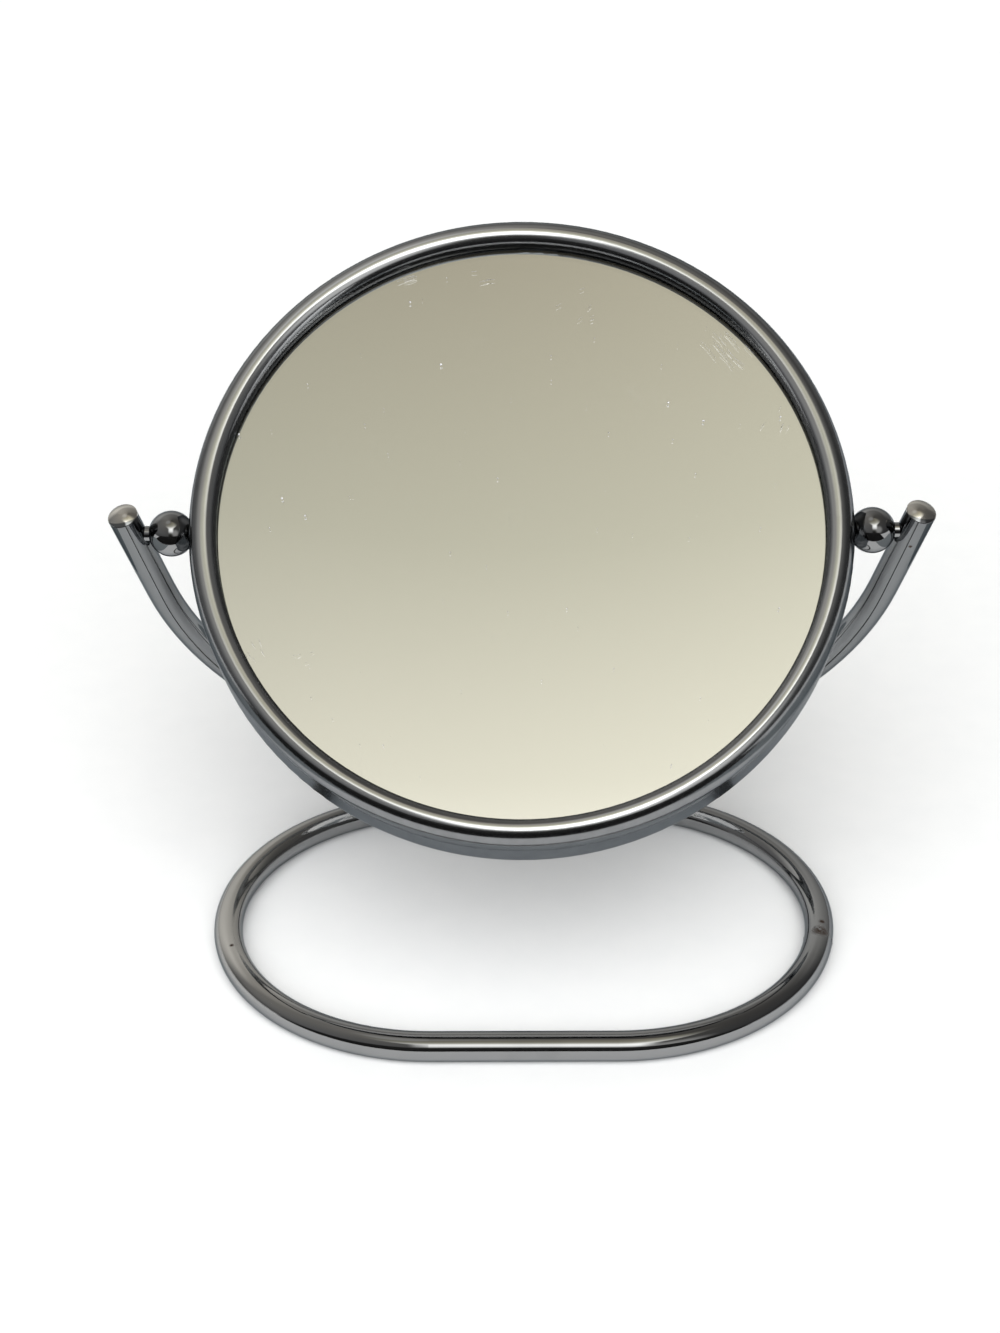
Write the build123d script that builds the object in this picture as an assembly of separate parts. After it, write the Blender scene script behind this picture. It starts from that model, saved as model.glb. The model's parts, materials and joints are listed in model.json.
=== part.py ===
from build123d import *
from math import asin, cos, degrees, radians, sin, sqrt, tan
import os

# Round two-sided table mirror that swings between the arms of a bent-rod bow.
# Millimetres. +X to the right, +Y to the back, +Z up.
# The origin is on the table, under the centre of the base loop.

# Mirror frame: two rolled rims set back to back, meeting in a shallow crease.
frame_d = 178.0
frame_depth = 21.4
bead_d = 7.4
rim_wall = 0.8
skirt_taper = 5.7
rest_tilt = 46.6

# Glass and what lies behind it.
glass_set_back = 0.5
glass_wall = 2.0
glass_edge_play = 0.4
hollow_share = 0.448
silver_wall = 0.2
card_wall = 1.0
packing_ring_w = 5.5
layer_gap = 0.6

# Hoop under the crease, which ties the rims together and turns on the pins.
hoop_wall = 1.0
hoop_w = 9.0

# Pivots: a pin through the frame and a ball, fast in the arm.
pin_d = 3.0
pin_grip = 1.2
pin_head_d = 5.6
pin_head_wall = 1.0
pin_slot_w = 0.8
pin_slot_depth = 0.5
spring_washer_wall = 0.35
spring_washer_cup = 0.25
friction_washer_d = 6.0
friction_washer_wall = 0.8
ball_d = 12.5
ball_neck = 0.35
neck_d = 4.2

# Stand: a flat base loop and a leaning bow, both of the same rod.
rod_d = 8.2
base_w = 178.0
base_depth = 127.5
pivot_set_back = 14.5
bow_drop = 4.6
arm_flare = 11.2
arm_over = 9.2
tip_crown = 1.5
tip_round = 0.4
ball_bed = 0.75
stud_d = 4.0
stud_grip = 2.5

# Clearances and the overrun of every cut.
running_clearance = 0.05
thrust_clearance = 0.1
hole_clearance = 0.35
seat_clearance = 0.1
overrun = 5.0

# Section of the frame, as radius and height above its middle plane.
bead_r = bead_d / 2
bead_bore_r = bead_r - rim_wall
bead_ring_r = frame_d / 2 - bead_r
bead_height = frame_depth / 2 - bead_r
taper = radians(skirt_taper)
seam_r = bead_ring_r + bead_r / cos(taper) - bead_height * tan(taper)
skirt_bore_r = seam_r - rim_wall / cos(taper)
hoop_bore_r = skirt_bore_r - hoop_wall / cos(taper)
glass_height = bead_height - glass_set_back
lip_back_r = bead_ring_r - sqrt(bead_bore_r**2 - glass_set_back**2)
free_depth = 2 * (glass_height - glass_wall - silver_wall) - card_wall
hollow_depth = hollow_share * free_depth
magnifier_curve_r = (lip_back_r**2 + hollow_depth**2) / (2 * hollow_depth)

# Places along the pivot axis, outwards from the middle of the frame.
pin_r = pin_d / 2
ball_r = ball_d / 2
pin_head_r = pin_head_d / 2
washer_r = friction_washer_d / 2
seat_r = washer_r + seat_clearance
spring_out_x = sqrt(hoop_bore_r**2 - pin_head_r**2) - thrust_clearance
spring_in_x = spring_out_x - spring_washer_wall - spring_washer_cup
pin_in_x = spring_in_x - pin_head_wall
seat_x = sqrt(seam_r**2 - seat_r**2)
washer_out_x = seat_x + friction_washer_wall
ball_face_x = washer_out_x + thrust_clearance
ball_x = ball_face_x + sqrt(ball_r**2 - washer_r**2)
glass_r = pin_in_x - glass_edge_play
layer_r = pin_in_x - layer_gap

# Stand: the bow's lowest point stands on a ball over the loop's back rail.
rod_r = rod_d / 2
flare = radians(arm_flare)
arm_x = ball_x + ball_r + ball_neck + rod_r / cos(flare)
bow_r = (arm_x - bow_drop * tan(flare)) * cos(flare)
rail_y = base_depth / 2 - rod_r
bow_foot_z = rod_r + rod_d + ball_d - 2 * ball_bed
bow_reach = bow_r + bow_drop
bow_lean = asin((rail_y - pivot_set_back) / bow_reach)
pivot_z = bow_foot_z + bow_reach * cos(bow_lean)
pin_out_x = arm_x + pin_grip
arm_run = (bow_drop + bow_r * sin(flare)) / cos(flare) + arm_over - tip_crown

# The frame lies face up while it is built, then tips to its resting pose.
frame_place = Pos(0, pivot_set_back, pivot_z) * Rot(90 - rest_tilt, 0, 0)
pivot_place = Pos(0, pivot_set_back, pivot_z)
bow_plane = Plane(
    origin=(0, pivot_set_back, pivot_z),
    x_dir=(1, 0, 0),
    z_dir=(0, -cos(bow_lean), -sin(bow_lean)),
)


def turned(section):
    """Solid of revolution about Z of a section drawn as radius and height."""
    return revolve(Plane.XZ * section, Axis.Z)


def ring_disc(radius, top, wall):
    """Flat disc about Z, below a height."""
    return Pos(0, 0, top - wall / 2) * Cylinder(radius, wall)


def rod_x(radius, start, end):
    """Round rod along X between two places."""
    return Pos((start + end) / 2, 0, 0) * Rot(0, 90, 0) * Cylinder(radius, end - start)


def both_sides(shape):
    """The shape with its mirror image on the other pivot."""
    return shape + mirror(shape, Plane.YZ)


def rim():
    """Rolled rim: a round bead on the glass side and a skirt that leans to the crease."""
    centre = (bead_ring_r, bead_height)
    lip_turn = degrees(asin(glass_set_back / bead_r))
    lip_back_turn = degrees(asin(glass_set_back / bead_bore_r))
    outside = CenterArc(centre, bead_r, -skirt_taper, 180 + lip_turn + skirt_taper)
    inside = CenterArc(centre, bead_bore_r, -skirt_taper, 180 + lip_back_turn + skirt_taper)
    section = [
        outside,
        Line(outside @ 1, inside @ 1),
        inside,
        Line(inside @ 0, (skirt_bore_r, 0)),
        Line((skirt_bore_r, 0), (seam_r, 0)),
        Line((seam_r, 0), outside @ 0),
    ]
    notch = rod_x(pin_r + hole_clearance, pin_in_x, ball_x)
    spot_face = rod_x(seat_r, seat_x, ball_x)
    return turned(make_face(section)) - both_sides(notch) - both_sides(spot_face)


def joining_hoop():
    """Strap under both skirts, with a ridge that fills the crease and a bearing hole each side."""
    half = hoop_w / 2
    rise = half * tan(taper)
    section = Polyline(
        (hoop_bore_r, 0),
        (hoop_bore_r + rise, half),
        (skirt_bore_r + rise, half),
        (skirt_bore_r, 0),
        (skirt_bore_r + rise, -half),
        (hoop_bore_r + rise, -half),
        close=True,
    )
    bearing = rod_x(pin_r + running_clearance, pin_in_x, ball_x)
    return turned(make_face(section)) - both_sides(bearing)


def hollow_height(radius, depth):
    """Height of the rear glass at a radius, at a depth behind its hollow face."""
    centre = -glass_height - sqrt(magnifier_curve_r**2 - lip_back_r**2)
    return centre + sqrt((magnifier_curve_r + depth) ** 2 - radius**2)


def hollow_edge(inner_r, outer_r, depth):
    """Curved edge of the section of a hollow layer, from one radius to another."""
    middle_r = (inner_r + outer_r) / 2
    points = [(r, hollow_height(r, depth)) for r in (inner_r, middle_r, outer_r)]
    return ThreePointArc(*points)


def hollow_disc(radius, depth, wall):
    """Dished disc of even wall that follows the rear glass."""
    face = hollow_edge(0, radius, depth)
    back = hollow_edge(0, radius, depth + wall)
    return turned(make_face([face, Line(face @ 1, back @ 1), back, Line(back @ 0, face @ 0)]))


def packing_ring():
    """Ring that holds the two glasses apart, its rear face dished to suit."""
    inner_r = layer_r - packing_ring_w
    top = glass_height - glass_wall - silver_wall - card_wall
    dish = hollow_edge(inner_r, layer_r, glass_wall + silver_wall)
    sides = Polyline(dish @ 1, (layer_r, top), (inner_r, top), dish @ 0)
    return turned(make_face([dish, sides]))


def spring_washer():
    """Cupped washer under the pin's head: its rim bears on the hoop."""
    bore_r = pin_r + running_clearance
    section = Polyline(
        (bore_r, spring_in_x),
        (pin_head_r, spring_in_x + spring_washer_cup),
        (pin_head_r, spring_out_x),
        (bore_r, spring_in_x + spring_washer_wall),
        close=True,
    )
    return Rot(0, 90, 0) * turned(make_face(section))


def friction_washer():
    """Flat fibre washer on the frame's seat, which rubs on the ball."""
    body = rod_x(washer_r, seat_x, washer_out_x)
    return body - rod_x(pin_r + running_clearance, pin_in_x, ball_x)


def pivot_ball():
    """Bright ball on the pin, with a flat for the friction washer and a neck that runs into the arm."""
    ball = Pos(ball_x, 0, 0) * Sphere(ball_r) + rod_x(neck_d / 2, ball_x, arm_x)
    ball -= rod_x(ball_r, seat_x, ball_face_x)
    return ball - rod_x(pin_r, seat_x, arm_x)


def pivot_pin():
    """Headed pin from inside the frame into the arm, slotted for a screwdriver."""
    pin = rod_x(pin_r, pin_in_x, pin_out_x) + rod_x(pin_head_r, pin_in_x, spring_in_x)
    slot = Box(2 * pin_slot_depth, pin_head_d + overrun, pin_slot_w)
    return pin - Pos(pin_in_x, 0, 0) * slot


def arm_tip():
    """Low crowned end of an arm, with its edge eased."""
    crown_r = (rod_r**2 + tip_crown**2) / (2 * tip_crown)
    crown = RadiusArc((rod_r, 0), (0, tip_crown), -crown_r)
    sides = Polyline((0, tip_crown), (0, -rod_r), (rod_r, -rod_r), (rod_r, 0))
    section = make_face([crown, sides])
    edge = section.vertices().group_by(Axis.X)[-1].sort_by(Axis.Y)[-1]
    return turned(fillet(edge, tip_round))


def rod_along(path, seam):
    """The rod swept along a path, with its seam turned to a side that no hole meets."""
    start = Plane(origin=path @ 0, x_dir=seam, z_dir=path % 0)
    return sweep(start * Circle(rod_r), path)


def bow_rod():
    """Round bow whose arms run straight and flared past the pivots."""
    arc = CenterArc((0, -bow_drop), bow_r, 180 + arm_flare, 180 - 2 * arm_flare)
    rises = [Vector(side * sin(flare), cos(flare)) for side in (-1, 1)]
    tips = [arc @ end + rise * arm_run for end, rise in zip((0, 1), rises)]
    path = Wire([Line(tips[0], arc @ 0), arc, Line(arc @ 1, tips[1])])
    rod = rod_along(path, (0, 0, -1))
    for tip, rise in zip(tips, rises):
        rod += Plane(origin=tip, z_dir=rise) * arm_tip()
    return bow_plane * rod


def base_rod():
    """Flat closed loop with straight front and back rails and round ends."""
    loop = Pos(0, 0, rod_r) * SlotOverall(base_w - rod_d, base_depth - rod_d)
    return rod_along(loop.wire(), (0, 0, -1))


def foot_stud():
    """Upright stud from the back rail through the foot ball into the bow."""
    low = rod_r + rod_r - stud_grip
    high = bow_foot_z - rod_r + stud_grip
    return Pos(0, rail_y, (low + high) / 2) * Cylinder(stud_d / 2, high - low)


def foot_ball(loop, arch):
    """Ball between rail and bow, bedded on both rods."""
    ball = Pos(0, rail_y, (rod_r + bow_foot_z) / 2) * Sphere(ball_r)
    return ball - loop - arch


front_rim = rim()
pin_hole = both_sides(rod_x(pin_r, ball_x, pin_out_x))
stud = foot_stud()
loop = base_rod()
arch = bow_rod()

frame_pieces = {
    "front_rim": front_rim,
    "rear_rim": mirror(front_rim, Plane.XY),
    "joining_hoop": joining_hoop(),
    "front_glass": ring_disc(glass_r, glass_height, glass_wall),
    "front_silver": ring_disc(layer_r, glass_height - glass_wall, silver_wall),
    "backing_card": ring_disc(layer_r, glass_height - glass_wall - silver_wall, card_wall),
    "packing_ring": packing_ring(),
    "rear_silver": hollow_disc(layer_r, glass_wall, silver_wall),
    "rear_glass": hollow_disc(glass_r, 0, glass_wall),
}
stand_pieces = {
    "base_loop": loop - stud,
    "bow": arch - stud - pivot_place * pin_hole,
    "foot_ball": foot_ball(loop, arch) - stud,
    "foot_stud": stud,
}
pivot_pieces = {
    "friction_washer": friction_washer(),
    "spring_washer": spring_washer(),
    "pivot_ball": pivot_ball(),
    "pivot_pin": pivot_pin(),
}

pieces = dict(stand_pieces)
for name, shape in frame_pieces.items():
    pieces[name] = frame_place * shape
for name, shape in pivot_pieces.items():
    pieces["right_" + name] = pivot_place * shape
    pieces["left_" + name] = pivot_place * mirror(shape, Plane.YZ)
for side in ("left_", "right_"):
    pieces[side + "pivot_ball"] -= arch

os.makedirs("parts", exist_ok=True)
for name, shape in pieces.items():
    export_step(shape, f"parts/{name}.step")
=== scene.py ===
# %% [markdown]
# # A two-sided table mirror in bright plating
# This lesson dresses a finished mechanical model of a round table mirror. The model brings every solid at its
# true size, so nothing here changes a shape that the hand can touch. What is left to do is what the eye sees:
# the plating, the glass with its silver, the dust, a few scratches and a weld.
# We load the model first.

# %% Load the frame
import json
import math
import random

import bpy
from mathutils import Matrix, Vector


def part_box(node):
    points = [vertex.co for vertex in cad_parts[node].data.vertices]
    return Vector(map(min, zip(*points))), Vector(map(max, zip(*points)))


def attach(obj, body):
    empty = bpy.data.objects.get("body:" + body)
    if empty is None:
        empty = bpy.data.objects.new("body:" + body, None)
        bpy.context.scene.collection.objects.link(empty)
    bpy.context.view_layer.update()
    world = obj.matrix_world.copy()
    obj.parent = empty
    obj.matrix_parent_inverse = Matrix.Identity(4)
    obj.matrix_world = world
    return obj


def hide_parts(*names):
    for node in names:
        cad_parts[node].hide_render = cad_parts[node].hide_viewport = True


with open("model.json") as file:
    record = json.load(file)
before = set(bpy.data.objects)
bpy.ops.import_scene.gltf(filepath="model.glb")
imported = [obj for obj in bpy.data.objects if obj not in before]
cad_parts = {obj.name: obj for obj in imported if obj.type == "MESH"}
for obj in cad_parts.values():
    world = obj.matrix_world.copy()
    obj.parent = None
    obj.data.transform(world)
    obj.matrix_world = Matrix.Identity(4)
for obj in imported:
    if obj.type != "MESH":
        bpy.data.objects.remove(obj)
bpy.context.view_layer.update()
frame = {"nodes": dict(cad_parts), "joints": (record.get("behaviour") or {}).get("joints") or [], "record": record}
nodes = frame["nodes"]
mm = 0.001

# %% [markdown]
# ## A small language for nodes
# Shader and geometry trees are graphs, and a graph written socket by socket is hard to read. One class wraps an
# output socket and gives it the usual operators, so that `1 - mask` makes a Math node. A second class adds any
# other node in one call: its type, its settings and what goes into its sockets. We could draw the graphs by hand
# in the editor, but then the reader couldn't see why each value is there.


# %% Sockets that take part in sums
class Wire:
    """An output socket that can be used in ordinary arithmetic."""

    def __init__(self, graph, socket):
        self.graph, self.socket = graph, socket

    def math(self, operation, *others):
        return self.graph.add("ShaderNodeMath", {"operation": operation}, dict(enumerate((self, *others))))

    def __add__(self, other):
        return self.math("ADD", other)

    def __sub__(self, other):
        return self.math("SUBTRACT", other)

    def __mul__(self, other):
        return self.math("MULTIPLY", other)

    def __truediv__(self, other):
        return self.math("DIVIDE", other)

    def __rsub__(self, other):
        return self.graph.add("ShaderNodeMath", {"operation": "SUBTRACT"}, {0: other, 1: self})

    __radd__, __rmul__ = __add__, __mul__

    def part(self, name):
        """Another output of the same node."""
        return Wire(self.graph, self.graph.pick(self.socket.node.outputs, name))


class Graph:
    """A node tree that is written one call to a node."""

    def __init__(self, tree):
        self.tree = tree
        tree.nodes.clear()

    def pick(self, sockets, key):
        live = [socket for socket in sockets if socket.enabled]
        return live[key] if isinstance(key, int) else next(socket for socket in live if socket.name == key)

    def add(self, kind, settings=None, sockets=None, take=0):
        node = self.tree.nodes.new(kind)
        for name, value in (settings or {}).items():
            if name == "stops":
                ramp = node.color_ramp.elements
                while len(ramp) < len(value):
                    ramp.new(1.0)
                for element, (place, colour) in zip(ramp, value):
                    element.position, element.color = place, (*colour, 1.0)
            else:
                setattr(node, name, value)
        for name, value in (sockets or {}).items():
            socket = self.pick(node.inputs, name)
            for item in value if isinstance(value, list) else [value]:
                if isinstance(item, Wire):
                    self.tree.links.new(item.socket, socket)
                else:
                    socket.default_value = item
        return Wire(self, self.pick(node.outputs, take)) if len(node.outputs) else node


def mix(factor, first, second):
    """Blend of two colours by a wire."""
    return factor.graph.add("ShaderNodeMix", {"data_type": "RGBA"}, {"Factor": factor, "A": first, "B": second})


def steps(value, low, high):
    """Smooth rise from 0 to 1 while the value goes from low to high."""
    return value.graph.add(
        "ShaderNodeMapRange", {"interpolation_type": "SMOOTHSTEP"}, {"Value": value, "From Min": low, "From Max": high}
    )


def measure(first, operation, second):
    """A number from two vectors, such as their distance."""
    return first.graph.add("ShaderNodeVectorMath", {"operation": operation}, {0: first, 1: second}, take="Value")


def paint(colour, share=1.0):
    """A colour for a socket, darkened to a share."""
    return (*(share * channel for channel in colour), 1.0)


print("node language ready")

# %% [markdown]
# ## Where the camera stands
# A photograph of a round thing tells a lot about its camera: the ring's ellipse gives the height of the eye, and the
# sizes of near and far rods give its distance. The numbers here come from such a fit. The camera stands about
# 67 centimetres away, looks down by 29 degrees and is turned and tipped by half a degree, as a hand-held one is.

# %% Camera
image_h = 1333
focal_px = 2391.7
camera_distance = 666.7 * mm
camera_height = math.radians(29.238)
camera_yaw, camera_roll = 0.0125, -0.0106
aim = Vector((-6.16, 14.5, 78.77)) * mm

back = Vector((
    math.sin(camera_yaw) * math.cos(camera_height),
    -math.cos(camera_yaw) * math.cos(camera_height),
    math.sin(camera_height),
))
level = Vector((math.cos(camera_yaw), math.sin(camera_yaw), 0.0))
upright = back.cross(level)
side = level * math.cos(camera_roll) + upright * math.sin(camera_roll)
top = upright * math.cos(camera_roll) - level * math.sin(camera_roll)

camera_data = bpy.data.cameras.new("camera")
camera_data.sensor_width = 36.0
camera_data.lens = focal_px / image_h * camera_data.sensor_width
camera = bpy.data.objects.new("camera", camera_data)
bpy.context.scene.collection.objects.link(camera)
turn = Matrix((side, top, back)).transposed().to_4x4()
camera.matrix_world = Matrix.Translation(aim + back * camera_distance) @ turn
bpy.context.scene.camera = camera
bpy.context.scene.view_settings.view_transform = "Standard"
print("lens", round(camera_data.lens, 1), "mm, eye at", [round(x, 3) for x in camera.location])

# %% [markdown]
# ## The room in the chrome
# Bright plating has no colour of its own: it shows the room. So the room is the most important finish of all. It is
# painted here as three strips of colour by height: one for a window in front of the mirror, one for the walls at the
# sides and one for the wall behind. The window stands over a dark lower wall, and the ceiling above it goes from white
# to beige and darkens towards the zenith. That ceiling is what the glass shows. A studio of cards would do the same,
# but a strip of colour has fewer parts to tune. Each stop is a height in degrees and a colour.

# %% Strips of colour
below = [(-90, (1.0, 1.0, 1.0)), (1.5, (1.0, 1.0, 1.0))]
zenith = [(90, (0.22, 0.205, 0.185))]
front_wall = [
    (3, (0.05, 0.05, 0.05)),
    (15, (0.035, 0.033, 0.030)),
    (23, (0.13, 0.13, 0.12)),
    (29, (0.70, 0.70, 0.68)),
    (35, (2.10, 2.10, 2.06)),
    (45, (2.95, 2.95, 2.86)),
    (52, (2.35, 2.33, 2.19)),
    (57, (1.32, 1.29, 1.15)),
    (61, (0.90, 0.87, 0.735)),
    (67, (0.61, 0.59, 0.475)),
    (74, (0.46, 0.425, 0.33)),
    (80, (0.41, 0.38, 0.31)),
]
side_wall = [
    (3, (0.09, 0.09, 0.09)),
    (20, (0.17, 0.17, 0.17)),
    (45, (0.21, 0.205, 0.195)),
    (75, (0.28, 0.265, 0.24)),
]
rear_wall = [
    (3, (0.50, 0.495, 0.48)),
    (12, (0.64, 0.63, 0.60)),
    (35, (0.64, 0.63, 0.60)),
    (43, (0.36, 0.35, 0.33)),
    (60, (0.32, 0.31, 0.29)),
]
print("stops of the walls:", len(front_wall), len(side_wall), len(rear_wall))

# %% [markdown]
# ## From strips to a room
# A direction has a height, which picks a colour from each strip, and a bearing, which says which strip counts. The
# window stands a little to the right, is narrow at the bottom and widens into the ceiling. The room is lighter to the
# right in front and to the left elsewhere. A soft ceiling light at the upper left gives the rims their broad second
# gleam, and a lit corner low at the right draws out the gleam of the front rail. Close to the horizon everything goes
# to white, so that the floor has no visible end.

# %% World
world = bpy.data.worlds.new("room")
bpy.context.scene.world = world
world.use_nodes = True
room = Graph(world.node_tree)
direction = room.add("ShaderNodeTexCoord", take="Generated")
across = room.add("ShaderNodeSeparateXYZ", None, {"Vector": direction}, take="X")
along, height = across.part("Y"), across.part("Z")
climb = height.math("ARCSINE") / math.pi + 0.5
no_zero = 1e-6
level_reach = (across * across + along * along + no_zero).math("SQRT")
bearing, sideways = along / level_reach, across / level_reach
widening_heights = (0.74, 0.85)
widening = steps(height, *widening_heights)


def strip(stops, slant):
    """Colour by height, lighter to the right by a share, or to the left by a negative one."""
    shares = [((degrees + 90) / 180, colour) for degrees, colour in below + stops + zenith]
    ramp = room.add("ShaderNodeValToRGB", {"stops": shares}, {"Fac": climb})
    return room.add("ShaderNodeVectorMath", {"operation": "SCALE"}, {0: ramp, "Scale": 1 + slant * sideways})


def widened(narrow, wide):
    """A width that grows from the window's bottom to the ceiling."""
    return narrow + (wide - narrow) * widening


def glow(centre, core, fade):
    """Soft round patch of the room about a direction."""
    return 1 - steps(measure(direction, "DISTANCE", centre), core, fade)


window_x = 0.07
window_core, window_fade = (0.08, 0.13), (0.27, 0.53)
beside_window = (across - window_x).math("ABSOLUTE")
window = 1 - steps(beside_window, widened(*window_core), widened(*window_fade))
front_bearings, rear_bearings = (-0.75, -0.10), (0.30, 0.85)
ahead = 1 - steps(bearing, *front_bearings)
behind = steps(bearing, *rear_bearings)
front_slant, side_slant, rear_slant = 0.32, -0.45, -0.60
walls = mix(behind, strip(side_wall, side_slant), strip(rear_wall, rear_slant))
with_window = mix(window * ahead, walls, strip(front_wall, front_slant))

ceiling_light = glow((-0.18, -0.10, 0.978), 0.10, 0.23)
ceiling_colour = (0.58, 0.57, 0.54)
with_ceiling_light = mix(ceiling_light, with_window, paint(ceiling_colour))
right_corner = glow((0.425, -0.80, 0.42), 0.12, 0.40)
corner_colour = (0.48, 0.475, 0.46)
with_corner = room.add(
    "ShaderNodeVectorMath", {"operation": "MULTIPLY_ADD"}, {0: right_corner, 1: corner_colour, 2: with_ceiling_light}
)
horizon_heights = (0.02, 0.05)
lit_room = mix(steps(height, *horizon_heights), paint((1.0, 1.0, 1.0)), with_corner)
sky = room.add("ShaderNodeBackground", None, {"Color": lit_room, "Strength": 1.0})
room.add("ShaderNodeOutputWorld", None, {"Surface": sky})
print("room:", len(world.node_tree.nodes), "nodes")

# %% [markdown]
# ## Floor, cards and lamp
# The floor is a wide pale disc. Chrome on a white floor looks pale and flat, so a photographer puts cards round it,
# just outside the picture. Here a dark cloth rises in front, below the edge of the picture, and a grey card lies at
# each side: the rims, balls and arms of the photo show such surroundings. They take part in reflections only, so that
# they never stand in the way of another view. One large soft lamp from the front brings the floor up to white and puts
# the head's shadow behind it. The lamp itself is kept out of reflections: the plating is to show the room, not a
# bright disc.


# %% Floor and cards
def new_finish(name):
    """An empty material and its graph."""
    material = bpy.data.materials.new(name)
    material.use_nodes = True
    return material, Graph(material.node_tree)


def matt_sheet(name, outline, first, second):
    """A flat stage piece with a matt, faintly mottled finish."""
    mesh = bpy.data.meshes.new(name)
    mesh.from_pydata(outline, [], [list(range(len(outline)))])
    sheet = bpy.data.objects.new(name, mesh)
    bpy.context.scene.collection.objects.link(sheet)
    material, g = new_finish(name)
    place = g.add("ShaderNodeTexCoord", take="Object")
    grain = g.add("ShaderNodeTexNoise", None, {"Vector": place, "Scale": 90.0, "Detail": 3.0})
    matt = g.add(
        "ShaderNodeBsdfPrincipled",
        None,
        {"Base Color": mix(grain, paint(first), paint(second)), "Roughness": 0.85, "Specular IOR Level": 0.2},
    )
    g.add("ShaderNodeOutputMaterial", None, {"Surface": matt})
    mesh.materials.append(material)
    return sheet


floor_r, floor_sides = 60.0, 96
floor_turns = [math.tau * i / floor_sides for i in range(floor_sides)]
floor_edge = [(floor_r * math.cos(a), floor_r * math.sin(a), 0.0) for a in floor_turns]
matt_sheet("pale_floor", floor_edge, (0.86, 0.875, 0.89), (0.90, 0.91, 0.92))

lift = 2 * mm
cloth_left, cloth_right = -0.70, 0.35
cloth_near, cloth_far, cloth_rise = -0.175, -0.50, 0.22
cloth_edge = [
    (cloth_left, cloth_near, lift),
    (cloth_right, cloth_near, lift),
    (cloth_right, cloth_far, cloth_rise),
    (cloth_left, cloth_far, cloth_rise),
]
cards = [matt_sheet("dark_cloth", cloth_edge, (0.020, 0.020, 0.022), (0.030, 0.030, 0.030))]

card_near, card_far, card_out = -0.17, 0.34, 0.80
card_in_near, card_in_far = 0.135, 0.228
corners = [(card_in_near, card_near), (card_out, card_near), (card_out, card_far), (card_in_far, card_far)]
for card_name, sign in (("left_card", -1), ("right_card", 1)):
    card_edge = [(sign * x, y, lift) for x, y in corners][::sign]
    cards.append(matt_sheet(card_name, card_edge, (0.28, 0.31, 0.33), (0.32, 0.35, 0.37)))
for sheet in cards:
    sheet.visible_camera = sheet.visible_diffuse = sheet.visible_shadow = False
print("floor radius", floor_r, "m, cards:", [sheet.name for sheet in cards])

# %% Lamp
lamp_spread, lamp_energy = math.radians(74), 3.65
lamp_tip, lamp_swing = math.radians(48), math.radians(-4)
lamp_data = bpy.data.lights.new("front_lamp", "SUN")
lamp_data.angle, lamp_data.energy = lamp_spread, lamp_energy
lamp = bpy.data.objects.new("front_lamp", lamp_data)
lamp.rotation_euler = (lamp_tip, 0.0, lamp_swing)
lamp.visible_glossy = lamp.visible_transmission = False
bpy.context.scene.collection.objects.link(lamp)
print("lamp", lamp_energy, "W per square metre")

# %% [markdown]
# ## How the head is tilted
# Everything on the glass is easier to place on a flat disc. Of the faces of the front glass that look up, the one that
# looks furthest forward tells the tilt, and the joint tells where the head turns. So a point given as right, up and
# out in millimetres can be put on the tilted head without measuring anything twice.

# %% The head's own directions
pivot = Vector(frame["joints"][0]["pos_m"])
glass_faces = nodes["front_glass"].data.polygons
facing = 0.5
outward = min((face.normal for face in glass_faces if face.normal.z > facing), key=lambda normal: normal.y).normalized()
rightward = Vector((1, 0, 0))
upward = outward.cross(rightward)
head_turn = Matrix((rightward, upward, outward)).transposed()


def on_head(right, up, out):
    """World place of a point of the head, from millimetres right, up and out of its middle."""
    return pivot + head_turn @ (Vector((right, up, out)) * mm)


def head_points(node):
    """A solid's points, as millimetres right, up and out of the head's middle."""
    return [head_turn.transposed() @ (v.co - pivot) / mm for v in nodes[node].data.vertices]


glass_points = head_points("front_glass")
glass_out = max(p.z for p in glass_points)
glass_r = max(p.x for p in glass_points)
glass_wall = glass_out - min(p.z for p in glass_points)
tilt = math.degrees(math.asin(outward.z))
print("tilt", round(tilt, 2), "glass at", round(glass_out, 2), "radius", round(glass_r, 2))

# %% [markdown]
# ## Bright plating
# Chrome over nickel is a metal with a faint blue-grey tint. The rods and balls are polished hard and show crisp lines.
# The rolled rims were spun and buffed, so their highlights are softer. Three things keep plating from looking like a
# computer's: it waves a little where the metal under it does, its polish changes from place to place, and it has small
# marks of wear. Each is a noise of its own size in millimetres, in the object's coordinates. A band of two numbers says
# where in a noise such a patch begins and where it is complete.


# %% Plating
def noise(graph, place, size, detail=2.0, roughness=0.5):
    """Noise whose blotches are about as wide as the given millimetres."""
    scale = 1.0 / (size * mm)
    return graph.add(
        "ShaderNodeTexNoise", None, {"Vector": place, "Scale": scale, "Detail": detail, "Roughness": roughness}
    )


mark_core = 0.35


def near(place, centre, radius):
    """1 at a point in metres, falling to 0 at a radius in millimetres."""
    return 1 - steps(measure(place, "DISTANCE", centre), mark_core * radius * mm, radius * mm)


cloud_size, film_size, speckle_size = 18.0, 3.5, 0.5
swell_size, ripple_size, ripple_share = 7.0, 1.5, 0.25
dull_band, film_band = (0.52, 0.72), (0.55, 0.75)
pit_band, mark_band = (0.74, 0.80), (0.74, 0.96)
dull_share, film_share, dull_tint = 0.6, 0.2, 0.90
dull_rough, wear_rough, shade_rough = 0.05, 0.45, 0.04
# strength and tint of the painted shade on the rims
shade_even, shade_patchy, shade_tint = 0.75, 0.25, 0.30
wear_colour, wear_depth, wear_bare = (0.045, 0.030, 0.022), 0.02 * mm, 0.6
chrome_edge = (0.34, 0.36, 0.38)


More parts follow.
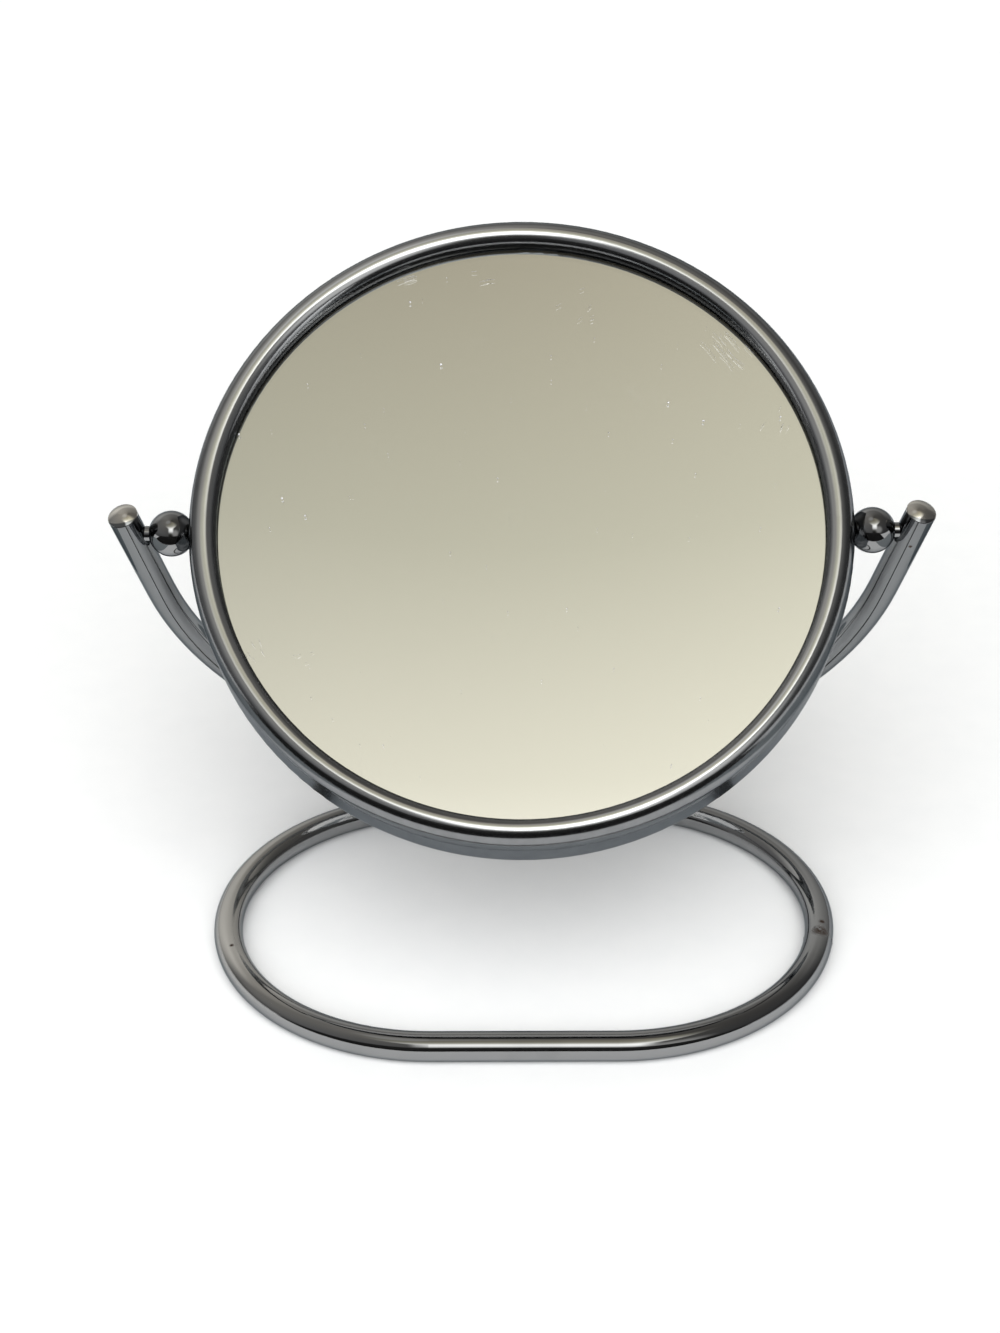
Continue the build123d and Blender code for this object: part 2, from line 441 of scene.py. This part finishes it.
def plating(name, tint, polish, wave, marks=(), shade_and_lean=None, painted_light=None):
    """Bright plating with waves, uneven polish and dark marks.

    Where it is asked for, it has a painted shade and a lean, or a part that is painted paler as a painted highlight.
    """
    material, g = new_finish(name)
    place = g.add("ShaderNodeTexCoord", take="Object")
    film = noise(g, place, film_size, 4.0, 0.65)
    speckle = noise(g, place, speckle_size)
    swell = noise(g, place, swell_size, 1.0) + ripple_share * noise(g, place, ripple_size, 1.0)
    dull = steps(noise(g, place, cloud_size, 3.0), *dull_band)
    wear = steps(speckle, *pit_band) * steps(film, *film_band)
    for centre, radius in marks:
        mark = near(place, centre, radius) * steps(film + speckle, *mark_band)
        wear = (wear + mark).math("MINIMUM", 1.0)
    bright = mix(dull * dull_share + film * film_share, paint(tint), paint(tint, dull_tint))
    rough = polish + dull_rough * dull * film + wear_rough * wear
    relief = swell * wave - wear * wear_depth
    if shade_and_lean:
        painted_shade, lean = shade_and_lean(g, place)
        relief = relief + lean
        # painted shade: the rims take a darker tint where the mask is 1
        bright = mix(painted_shade * (shade_even + shade_patchy * film), bright, paint(tint, shade_tint))
        rough = rough + shade_rough * painted_shade
    if painted_light:
        where, pale_tint, pale_rough = painted_light
        pale = where(g, place)
        # painted highlight and painted reflection: a paler tint where the mask is 1
        bright = mix(pale, bright, paint(pale_tint))
        rough = rough + pale_rough * pale
    bump = g.add("ShaderNodeBump", None, {"Strength": 1.0, "Distance": 1.0, "Height": relief})
    metal = g.add(
        "ShaderNodeBsdfPrincipled",
        None,
        {
            "Base Color": mix(wear, bright, paint(wear_colour)),
            "Specular Tint": paint(chrome_edge),
            "Metallic": 1 - wear_bare * wear,
            "Roughness": rough,
            "Normal": bump,
        },
    )
    g.add("ShaderNodeOutputMaterial", None, {"Surface": metal})
    return material


print("plating noises:", cloud_size, film_size, speckle_size, swell_size, ripple_size, "mm")

# %% [markdown]
# ## What sets the pieces apart
# The rims are painted darker on their outer walls and in the corner at the glass: painted shade and painted dark
# reflection. At the bottom the painted shade in that corner is wider. The rims' gleam also lies further in towards
# the lower right than an even roll would show it. A slope in the shading moves it there, and the solid stays as it is.
# The arms' tips and the upper side of the loop's left end are painted paler than the other rods: a painted highlight.

# %% Rims, tips and the left end
# radii in millimetres where the painted shade on the rims begins and ends
lip_r, lip_unshaded_r = 82.3, 83.1
wall_unshaded_r, wall_r = 85.9, 87.2
corner_shade_width, corner_shade_rise = 0.9, (25.0, 75.0)
bead_r, lean_slope, shade_shift = 85.3, 0.25, 0.6
lean_even, lean_low_right = 0.5, 0.4


def rim_shade_and_lean(g, place):
    """How the rims differ from an even roll: painted shade and dark reflection, and a height that lets the roll lean.

    The painted shade is 1 on the outer walls and against the glass, and 0 on the crest of the bead.
    """
    from_pivot = g.add("ShaderNodeVectorMath", {"operation": "SUBTRACT"}, {0: place, 1: pivot})
    axial = measure(from_pivot, "DOT_PRODUCT", outward)
    reach = measure(place, "DISTANCE", pivot)
    radius = (reach * reach - axial * axial).math("SQRT") / mm
    # the painted shade in the corner at the glass widens towards the bottom
    corner_shade = corner_shade_width * steps(measure(from_pivot, "DOT_PRODUCT", -upward) / mm, *corner_shade_rise)
    low_right = measure(from_pivot, "DOT_PRODUCT", rightward - upward) / (bead_r * mm)
    lean = lean_even + lean_low_right * low_right
    # painted shade and painted dark reflection on the outer walls and in the corner at the glass
    painted_shade = steps(radius + shade_shift * lean, wall_unshaded_r, wall_r) + 1 - steps(radius - corner_shade, lip_r, lip_unshaded_r)
    return painted_shade, lean_slope * lean * (bead_r - radius) * mm


arm_flare = math.radians(11.2)
tip_band = (144.9, 145.2)


def arm_tips(g, place):
    """1 on the crowned tips of the arms, measured along the flared arms in millimetres, where a highlight is painted.
    """
    x = g.add("ShaderNodeSeparateXYZ", None, {"Vector": place}, take="X")
    run = x.math("ABSOLUTE") * math.sin(arm_flare) + x.part("Z") * math.cos(arm_flare)
    return steps(run / mm, *tip_band)


left_band, upper_band = (52.0, 80.0), (4.5, 7.2)


def left_end(g, place):
    """1 on the upper side of the loop's left end, where a paler reflection is painted."""
    x = g.add("ShaderNodeSeparateXYZ", None, {"Vector": place}, take="X")
    return steps(-1 * x / mm, *left_band) * steps(x.part("Z") / mm, *upper_band)


# the two radii bound the painted shade on the rims
print("film inside", lip_unshaded_r, "and outside", wall_unshaded_r, "mm, tips from", tip_band[0], "mm")

# %% [markdown]
# ## Four platings
# The rods and balls have darker tints than real chrome. The white floor shows in them, where the mirror in the photo
# had darker surroundings, and a darker tint makes up for that. The marks sit where the photo has them: rust at the
# weld with its spatter, a pit in the loop's left end and a nick in the right arm.

# %% Platings
chrome = (0.305, 0.308, 0.312)
# painted shade: the bow's tint is darker than the loop's
bow_shade_tint = (0.222, 0.229, 0.235)
rim_tint = (0.658, 0.672, 0.690)
# painted highlight: the arms' tips take a paler tint
tip_highlight_tint, tip_highlight_rough = (0.66, 0.64, 0.60), 0.10
# painted reflection: the upper side of the loop's left end takes a paler tint
left_sheen_tint, left_sheen_rough = (0.48, 0.47, 0.45), 0.03
rod_polish, ball_polish, rim_polish = 0.045, 0.035, 0.13
rod_wave, ball_wave, rim_wave = 0.010 * mm, 0.004 * mm, 0.003 * mm
weld_spot = (Vector((84.0, -13.0, 7.4)) * mm, 3.2)
weld_spatter = (Vector((84.9, -8.6, 7.8)) * mm, 1.3)
rail_pit = (Vector((-82.0, -19.2, 8.0)) * mm, 0.9)
arm_nick = (Vector((104.8, 11.7, 116.8)) * mm, 0.7)
loop_marks = [weld_spot, weld_spatter, rail_pit]
loop_painted_sheen, tips_painted_highlight = (left_end, left_sheen_tint, left_sheen_rough), (arm_tips, tip_highlight_tint, tip_highlight_rough)
rod_chrome = plating("rod_chrome", chrome, rod_polish, rod_wave, loop_marks, painted_light=loop_painted_sheen)
bow_shaded_chrome = plating("bow_shaded_chrome", bow_shade_tint, rod_polish, rod_wave, [arm_nick], painted_light=tips_painted_highlight)
ball_chrome = plating("ball_chrome", chrome, ball_polish, ball_wave)
rim_chrome = plating("rim_chrome", rim_tint, rim_polish, rim_wave, shade_and_lean=rim_shade_and_lean)
print("platings:", [finish.name for finish in (rod_chrome, bow_shaded_chrome, ball_chrome, rim_chrome)])

# %% [markdown]
# ## Plain steels, card and fibre
# Inside the head and under the balls there are pieces that are hardly seen: turned pins, cupped springs, the strap
# that ties the rims, the card and the fibre washers. They still get a finish each, because the part can be taken
# apart. Turned and rolled steel has fine lines, which a noise that is stretched along one direction gives. Board and
# fibre are matt and mottled.

# %% Steels, card and fibre
line_size, line_depth = 0.25, 0.002 * mm
line_share, line_tint, line_rough = 0.6, 0.72, 0.12


def lined_steel(name, tint, polish, stretch):
    """Steel with fine lines along one direction."""
    material, g = new_finish(name)
    place = g.add("ShaderNodeTexCoord", take="Object")
    drawn = g.add("ShaderNodeMapping", None, {"Vector": place, "Scale": stretch})
    lines = noise(g, drawn, line_size)
    cloud = noise(g, place, 10 * line_size, 3.0)
    colour = mix(lines * line_share + cloud * (1 - line_share), paint(tint), paint(tint, line_tint))
    bump = g.add("ShaderNodeBump", None, {"Strength": 1.0, "Distance": 1.0, "Height": lines * line_depth})
    metal = g.add(
        "ShaderNodeBsdfPrincipled",
        None,
        {"Base Color": colour, "Metallic": 1.0, "Roughness": polish + line_rough * lines, "Normal": bump},
    )
    g.add("ShaderNodeOutputMaterial", None, {"Surface": metal})
    return material


fleck_band, fleck_depth = (0.4, 0.65), 0.03 * mm
board_rough, board_uneven = 0.78, 0.15


def pressed_board(name, tint, flecks, size):
    """Matt board or fibre with darker and lighter flecks."""
    material, g = new_finish(name)
    place = g.add("ShaderNodeTexCoord", take="Object")
    fleck = noise(g, place, size, 5.0, 0.7)
    cloud = noise(g, place, 12.0 * size)
    colour = mix(steps(fleck, *fleck_band), paint(tint), paint(flecks))
    bump = g.add("ShaderNodeBump", None, {"Strength": 1.0, "Distance": 1.0, "Height": fleck * fleck_depth})
    matt = g.add(
        "ShaderNodeBsdfPrincipled",
        None,
        {"Base Color": colour, "Roughness": board_rough + board_uneven * cloud, "Normal": bump},
    )
    g.add("ShaderNodeOutputMaterial", None, {"Surface": matt})
    return material


pin_steel = lined_steel("pin_steel", (0.52, 0.52, 0.52), 0.16, (0.08, 1.0, 1.0))
spring_steel = lined_steel("spring_steel", (0.38, 0.38, 0.40), 0.22, (1.0, 1.0, 1.0))
strap_steel = lined_steel("strap_steel", (0.46, 0.46, 0.46), 0.30, (1.0, 0.2, 0.2))
card = pressed_board("card", (0.40, 0.32, 0.23), (0.52, 0.44, 0.33), 0.6)
fibre = pressed_board("fibre", (0.16, 0.10, 0.08), (0.26, 0.17, 0.13), 0.3)
print("plain finishes:", [m.name for m in (pin_steel, spring_steel, strap_steel, card, fibre)])

# %% [markdown]
# ## Glass and silver
# A mirror is a sheet of clear glass with silver on its back, so what we see is one faint image in the front face and
# one strong image a glass's thickness deeper. The glass is a real transparent solid. The silver darkens in small spots
# towards the edge, as old silver does, and the glass carries a thin haze where fingers touched it.

# %% Glass and silver finishes
finger_size, streak_size = 22.0, 1.4
finger_band, streak_band = (0.55, 0.80), (0.45, 0.75)
haze_polish, haze_share = 0.02, 0.05


def clear_glass_finish():
    """Clear glass with a faint haze of finger marks."""
    material, g = new_finish("clear_glass")
    place = g.add("ShaderNodeTexCoord", take="Object")
    fingers = noise(g, place, finger_size, 4.0, 0.6)
    wiped = g.add("ShaderNodeMapping", None, {"Vector": place, "Scale": (1.0, 0.35, 0.35)})
    haze = steps(fingers, *finger_band) * steps(noise(g, wiped, streak_size, 3.0), *streak_band)
    glass = g.add(
        "ShaderNodeBsdfPrincipled",
        None,
        {
            "Base Color": paint((0.98, 0.985, 0.98)),
            "Roughness": haze_polish * haze,
            "IOR": 1.52,
            "Transmission Weight": 1.0,
        },
    )
    dust_film = g.add("ShaderNodeBsdfDiffuse", None, {"Color": paint((0.75, 0.74, 0.70))})
    both = g.add("ShaderNodeMixShader", None, {"Fac": haze_share * haze, 1: glass, 2: dust_film})
    g.add("ShaderNodeOutputMaterial", None, {"Surface": both})
    return material


spot_size, spot_band, spotted_edge = 0.8, (0.62, 0.72), 3.5
silver_polish, spot_rough = 0.008, 0.3


def silver_finish():
    """Silver film, with small dark spots near its edge."""
    material, g = new_finish("silvering")
    place = g.add("ShaderNodeTexCoord", take="Object")
    edge = steps(measure(place, "DISTANCE", pivot), (glass_r - spotted_edge) * mm, glass_r * mm)
    worn = edge * steps(noise(g, place, spot_size, 4.0, 0.7), *spot_band)
    colour = mix(worn, paint((0.87, 0.87, 0.855)), paint((0.10, 0.085, 0.06)))
    film = g.add(
        "ShaderNodeBsdfPrincipled",
        None,
        {"Base Color": colour, "Metallic": 1.0, "Roughness": silver_polish + spot_rough * worn},
    )
    g.add("ShaderNodeOutputMaterial", None, {"Surface": film})
    return material


clear_glass = clear_glass_finish()
silvering = silver_finish()
print("glass and silver:", clear_glass.name, silvering.name)

# %% [markdown]
# ## Films and the hollow glass
# The silver is drawn as films of their own that lie a few hundredths of a millimetre inside the backs of the glasses:
# two faces in exactly one place would make the renderer choose between them at random. Both films are turned about the
# head's axis from a section. The curve of the hollow one is worked out from two points of the model's silvering, at
# its edge and in its middle. The hollow glass is turned again as well: the facets of the model's own meet in the
# middle, and a wrong shading direction there shows as a dent. The turned one has a hole of four hundredths of a
# millimetre in that place.


# %% Films and the hollow glass
def new_piece(name, mesh, material, body):
    """A finished piece that moves with a body."""
    mesh.materials.clear()
    mesh.materials.append(material)
    piece = bpy.data.objects.new(name, mesh)
    bpy.context.scene.collection.objects.link(piece)
    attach(piece, body)
    return piece


def turned_mesh(name, section, count=192):
    """Closed mesh from a section of (radius, height) in millimetres, turned about the head's axis."""
    points, faces = [], []
    for i in range(count):
        angle = math.tau * i / count
        points += [on_head(r * math.cos(angle), r * math.sin(angle), h) for r, h in section]
    size = len(section)
    for i in range(count):
        j = (i + 1) % count
        for k in range(size):
            m = (k + 1) % size
            faces.append((i * size + k, j * size + k, j * size + m, i * size + m))
    mesh = bpy.data.meshes.new(name)
    mesh.from_pydata(points, [], faces)
    return mesh


film_sink, film_wall, axis_gap = 0.06, 0.15, 0.02
front_inset, rear_inset = 0.3, 0.2
film_r = glass_r - front_inset
film_face = glass_out - glass_wall + film_sink
front_section = [
    (axis_gap, film_face),
    (film_r, film_face),
    (film_r, film_face - film_wall),
    (axis_gap, film_face - film_wall),
]
front_mesh = turned_mesh("front_silver_film", front_section)
front_film = new_piece("front_silver_film", front_mesh, silvering, "mirror")
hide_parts("front_silver")


def off_axis(point):
    """How far a point of the head lies from its axis."""
    return math.hypot(point.x, point.y)


silver_middle, lens_middle = 12.0, 1.0
rear_points = head_points("rear_silver")
rear_outer = min((p for p in rear_points if off_axis(p) > film_r), key=lambda p: p.z)
rear_high = min(p.z for p in rear_points if off_axis(p) < silver_middle)
rear_r, rise = off_axis(rear_outer), rear_high - rear_outer.z
curve_r = (rear_r**2 + rise**2) / (2 * rise)
dish_steps, pole_ring = 40, 4 * axis_gap


def dish(radius, middle):
    """Height of a hollow face at a radius, from its height in the middle."""
    return middle - curve_r + math.sqrt(curve_r**2 - radius**2)


def hollow_piece(name, edge_r, low, high, material):
    """A turned piece between two hollow faces, smooth but for its edge."""
    radii = [axis_gap, pole_ring] + [edge_r * (i + 1) / dish_steps for i in range(dish_steps)]
    section = [(r, dish(r, high)) for r in radii] + [(r, dish(r, low)) for r in reversed(radii)]
    piece = new_piece(name, turned_mesh(name, section), material, "mirror")
    for face in piece.data.polygons:
        face.use_smooth = abs(face.normal.dot(outward)) > facing
    return piece


film_low = rear_high - film_sink
rear_film = hollow_piece(
    "rear_silver_film", rear_r - rear_inset, film_low, film_low + film_wall, silvering
)
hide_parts("rear_silver")

lens_points = head_points("rear_glass")
lens_r = max(off_axis(p) for p in lens_points)
lens_heights = [p.z for p in lens_points if off_axis(p) < lens_middle]
rear_lens = hollow_piece("rear_lens", lens_r, min(lens_heights), max(lens_heights), clear_glass)
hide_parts("rear_glass")
print("hollow film: radius of curve", round(curve_r), "mm, rise", round(rise, 2), "mm")

# %% [markdown]
# ## Dust on the glass
# A used mirror is never clean. Pale specks lie on the front face, and because the silver is deeper than the face,
# each speck is seen twice. Painting specks in a texture would lose that, so they are small flakes with a height. They
# repeat by a rule, which is work for Geometry Nodes: scatter points on a disc, put a flake on each and size it at
# random from a fixed seed. The largest specks have places of their own: lone points of the base mesh, with no face
# beside them. The tree ends in real geometry, because an export keeps no instances.


# %% Dust tree
def new_tree(name, numbers):
    """A geometry tree with named number inputs, and its graph, input node and identifiers."""
    tree = bpy.data.node_groups.new(name, "GeometryNodeTree")
    tree.interface.new_socket("Geometry", in_out="OUTPUT", socket_type="NodeSocketGeometry")
    tree.interface.new_socket("Geometry", in_out="INPUT", socket_type="NodeSocketGeometry")
    keys = {}
    for label in numbers:
        keys[label] = tree.interface.new_socket(label, in_out="INPUT", socket_type="NodeSocketFloat").identifier
    graph = Graph(tree)
    return tree, graph, graph.add("NodeGroupInput"), keys


def close_tree(graph, geometry, material):
    """Real geometry with its material, to the tree's output."""
    solid = graph.add("GeometryNodeRealizeInstances", None, {"Geometry": geometry})
    dressed = graph.add("GeometryNodeSetMaterial", None, {"Geometry": solid, "Material": material})
    graph.add("NodeGroupOutput", None, {"Geometry": dressed})


def grow(name, base, tree, keys, values):
    """Plain mesh of what a tree makes from a base mesh."""
    holder = bpy.data.objects.new(name + "_base", base)
    bpy.context.scene.collection.objects.link(holder)
    modifier = holder.modifiers.new("grow", "NODES")
    modifier.node_group = tree
    for label, value in values.items():
        modifier[keys[label]] = value
    view = bpy.context.evaluated_depsgraph_get()
    mesh = bpy.data.meshes.new_from_object(holder.evaluated_get(view), depsgraph=view)
    mesh.name = name
    holder.modifiers.clear()
    bpy.data.objects.remove(holder)
    return mesh


lint_size, lint_rough, lint_uneven = 4.0, 0.7, 0.2


def lint_finish():
    """Pale dust and the bright edges of scratches."""
    material, g = new_finish("lint")
    place = g.add("ShaderNodeTexCoord", take="Object")
    cloud = noise(g, place, lint_size)
    colour = mix(cloud, paint((0.96, 0.95, 0.92)), paint((0.85, 0.83, 0.78)))
    matt = g.add(
        "ShaderNodeBsdfPrincipled",
        None,
        {
            "Base Color": colour,
            "Roughness": lint_rough + lint_uneven * cloud,
            "Subsurface Weight": 1.0,
            "Subsurface Radius": (1.0, 1.0, 0.9),
            "Subsurface Scale": 1.0 * mm,
        },
    )
    g.add("ShaderNodeOutputMaterial", None, {"Surface": matt})
    return material


lint = lint_finish()
dust_tree, g, entry, dust_keys = new_tree("dust_on_glass", ["Specks per area", "Speck width", "Seed"])
scatter = g.add(
    "GeometryNodeDistributePointsOnFaces",
    None,
    {"Mesh": entry, "Density": entry.part("Specks per area"), "Seed": entry.part("Seed")},
)
faces_beside = g.add("GeometryNodeInputMeshVertexNeighbors", take="Face Count")
alone = 1 - faces_beside.math("MINIMUM", 1.0)
laid = g.add("GeometryNodeMeshToPoints", {"mode": "VERTICES"}, {"Mesh": entry, "Selection": alone})
flake = g.add(
    "GeometryNodeMeshCone", None, {"Vertices": 6, "Radius Top": 0.25, "Radius Bottom": 0.5, "Depth": 0.35}
)
sizes = g.add("FunctionNodeRandomValue", {"data_type": "FLOAT"}, {"Min": 0.25, "Max": 0.75, "Seed": 5})
fine_specks = g.add(
    "GeometryNodeInstanceOnPoints",
    None,
    {
        "Points": scatter,
        "Instance": flake,
        "Rotation": scatter.part("Rotation"),
        "Scale": sizes * sizes * entry.part("Speck width"),
    },
)
laid_least, laid_more = 0.5, 0.6
laid_specks = g.add(
    "GeometryNodeInstanceOnPoints",
    None,
    {
        "Points": laid,
        "Instance": flake,
        "Rotation": tuple(head_turn.to_euler()),
        "Scale": (laid_least + sizes * laid_more) * entry.part("Speck width"),
    },
)
specks = g.add("GeometryNodeJoinGeometry", None, {"Geometry": [fine_specks, laid_specks]})
close_tree(g, specks, lint)
print("dust tree inputs:", list(dust_keys))

# %% Dust on the front glass
patch_sides = 48


def patch(name, radius, out, lone):
    """Round patch over a glass, with lone points beside its one face, from millimetres on the head."""
    turns = [math.tau * i / patch_sides for i in range(patch_sides)]
    rim = [(radius * math.cos(a), radius * math.sin(a)) for a in turns]
    mesh = bpy.data.meshes.new(name)
    mesh.from_pydata([on_head(x, y, out) for x, y in rim + lone], [], [list(range(patch_sides))])
    return mesh


seen_specks = [
    (-30.4, 65.3),
    (-21.8, 46.5),
    (-76.5, 26.2),
    (-64.3, 7.5),
    (-58.0, 2.5),
    (40.1, 34.8),
    (49.5, 29.4),
    (70.4, 30.4),
]
clean_edge = 6.0
dust_patch = patch("dust_patch", glass_r - clean_edge, glass_out, seen_specks)
dust_values = {"Specks per area": 5000.0, "Speck width": 0.8 * mm, "Seed": 11.0}
front_dust = grow("dust_specks", dust_patch, dust_tree, dust_keys, dust_values)
new_piece("dust_specks", front_dust, lint, "mirror")
print("dust faces:", len(front_dust.polygons))

# %% [markdown]
# ## Scratches
# The eye finds a few places where something hard slid over the glass: a sheaf of short strokes at the upper right, some
# that follow the rim at the upper left, and a chipped spot low on the left. Each stroke is a path, and the tree gives
# every path the same thin round section. The paths are laid one by one, with a little scatter from a fixed seed.

# %% Scratches
hand = random.Random(4)
most_turn, half_lengths, most_bend = 7, (0.25, 0.6), 0.02


def sheaf(centre, angle, count, length, spread):
    """Short strokes near a place on the glass, all much in one direction."""
    strokes = []
    for _ in range(count):
        lean = math.radians(angle + hand.uniform(-most_turn, most_turn))
        half = length * hand.uniform(*half_lengths)
        x, y = centre[0] + hand.gauss(0, spread), centre[1] + hand.gauss(0, spread)
        dx, dy = half * math.cos(lean), half * math.sin(lean)
        bend = hand.uniform(-most_bend, most_bend) * length
        strokes.append([(x - dx, y - dy), (x - dy * bend, y + dx * bend), (x + dx, y + dy)])
    return strokes


# Centre, angle, count, length and spread of each sheaf, in millimetres and degrees.
sheaves = [
    ((57.0, 53.0), -50, 11, 6.0, 3.0),
    ((-31.0, 71.0), 22, 4, 5.0, 1.2),
    ((-10.5, 72.5), 4, 4, 2.6, 1.2),
    ((17.0, 60.0), 30, 7, 1.6, 2.6),
    ((70.0, 30.0), 60, 5, 1.6, 1.6),
    ((-71.5, -35.5), -60, 7, 1.5, 1.3),
    ((-57.0, -37.0), 20, 4, 1.0, 1.5),
]
strokes = [stroke for row in sheaves for stroke in sheaf(*row)]
points, edges = [], []
for stroke in strokes:
    first = len(points)
    points += [on_head(x, y, glass_out) for x, y in stroke]
    edges += [(first, first + 1), (first + 1, first + 2)]
paths = bpy.data.meshes.new("scratch_paths")
paths.from_pydata(points, edges, [])

scratch_tree, g, entry, scratch_keys = new_tree("scratch_along_path", ["Scratch width"])
lines = g.add("GeometryNodeMeshToCurve", None, {"Mesh": entry})
half_width = entry.part("Scratch width") * 0.5
section = g.add("GeometryNodeCurvePrimitiveCircle", {"mode": "RADIUS"}, {"Resolution": 4, "Radius": half_width})
ridges = g.add("GeometryNodeCurveToMesh", None, {"Curve": lines, "Profile Curve": section})
close_tree(g, ridges, lint)
scratch_mesh = grow("scratches", paths, scratch_tree, scratch_keys, {"Scratch width": 0.07 * mm})
new_piece("scratches", scratch_mesh, lint, "mirror")
print("strokes:", len(strokes), "faces:", len(scratch_mesh.polygons))

# %% [markdown]
# ## The weld in the base loop
# The loop is one rod, bent round and joined end to end at its right-hand end. The joint was ground almost flush and
# plated over, and rust has come through it. A ring of small flat ripples round the rod stands for the weld bead, and
# the plating's own mark at that place gives the rust.

# %% Weld ripples
rod_r = (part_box("base_loop")[1].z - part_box("base_loop")[0].z) / 2
loop_low, loop_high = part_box("base_loop")
end_r = (loop_high.y - loop_low.y) / 2 - rod_r
end_x = loop_high.x - rod_r - end_r
weld_turn = math.radians(-12.5)
weld_out = Vector((math.cos(weld_turn), math.sin(weld_turn), 0.0))
weld_centre = Vector((end_x, 0.0, rod_r)) + weld_out * end_r
weld_start, weld_sweep, weld_sink = -20, 220, 0.10 * mm
ripple_path, ripple_count = 60, 22
weld_points = []
for i in range(ripple_path):
    angle = math.radians(weld_start + weld_sweep * i / (ripple_path - 1))
    spoke = weld_out * math.cos(angle) + Vector((0, 0, math.sin(angle)))
    weld_points.append(weld_centre + spoke * (rod_r - weld_sink))
weld_line = bpy.data.meshes.new("weld_line")
weld_line.from_pydata(weld_points, [(i, i + 1) for i in range(ripple_path - 1)], [])


rust_size, rust_band, rust_bare = 0.7, (0.42, 0.60), 0.7
bead_polish, rust_rough = 0.25, 0.45


def weld_finish():
    """Ground weld bead with rust in its hollows."""
    material, g = new_finish("weld_bead")
    place = g.add("ShaderNodeTexCoord", take="Object")
    rust = steps(noise(g, place, rust_size, 4.0, 0.7), *rust_band)
    colour = mix(rust, paint((0.16, 0.145, 0.13)), paint((0.040, 0.024, 0.016)))
    metal = g.add(
        "ShaderNodeBsdfPrincipled",
        None,
        {"Base Color": colour, "Metallic": 1 - rust_bare * rust, "Roughness": bead_polish + rust_rough * rust},
    )
    g.add("ShaderNodeOutputMaterial", None, {"Surface": metal})
    return material


weld_bead = weld_finish()
weld_tree, g, entry, weld_keys = new_tree("weld_ripples", ["Ripple width"])
run = g.add("GeometryNodeMeshToCurve", None, {"Mesh": entry})
dots = g.add("GeometryNodeCurveToPoints", {"mode": "COUNT"}, {"Curve": run, "Count": ripple_count})
drop = g.add("GeometryNodeMeshUVSphere", None, {"Segments": 10, "Rings": 6, "Radius": 0.5})
vary = g.add("FunctionNodeRandomValue", {"data_type": "FLOAT"}, {"Min": 0.6, "Max": 1.1, "Seed": 3})
ripples = g.add(
    "GeometryNodeInstanceOnPoints",
    None,
    {"Points": dots, "Instance": drop, "Scale": vary * entry.part("Ripple width")},
)
close_tree(g, ripples, weld_bead)
weld_mesh = grow("weld_ripples", weld_line, weld_tree, weld_keys, {"Ripple width": 0.42 * mm})
new_piece("weld_ripples", weld_mesh, weld_bead, "stand")
print("weld faces:", len(weld_mesh.polygons))

# %% [markdown]
# ## Dressing the solids
# Every solid of the model keeps its own shape and gets the finish of its slot in the record. The bow alone has a finish
# of its own, with a darker tint than the loop's: painted shade.

# %% Finishes by slot
finishes = {
    "rod_chrome": rod_chrome,
    "ball_chrome": ball_chrome,
    "rim_chrome": rim_chrome,
    "pin_steel": pin_steel,
    "spring_steel": spring_steel,
    "strap_steel": strap_steel,
    "clear_glass": clear_glass,
    "silvering": silvering,
    "card": card,
    "fibre": fibre,
}
for subpart in frame["record"]["subparts"]:
    solid = nodes[subpart["node"]]
    for material_slot in solid.material_slots:
        material_slot.material = bow_shaded_chrome if subpart["node"] == "bow" else finishes[subpart["material_slot"]]

# %% [markdown]
# ## Closing

# %% Finish
print("done")
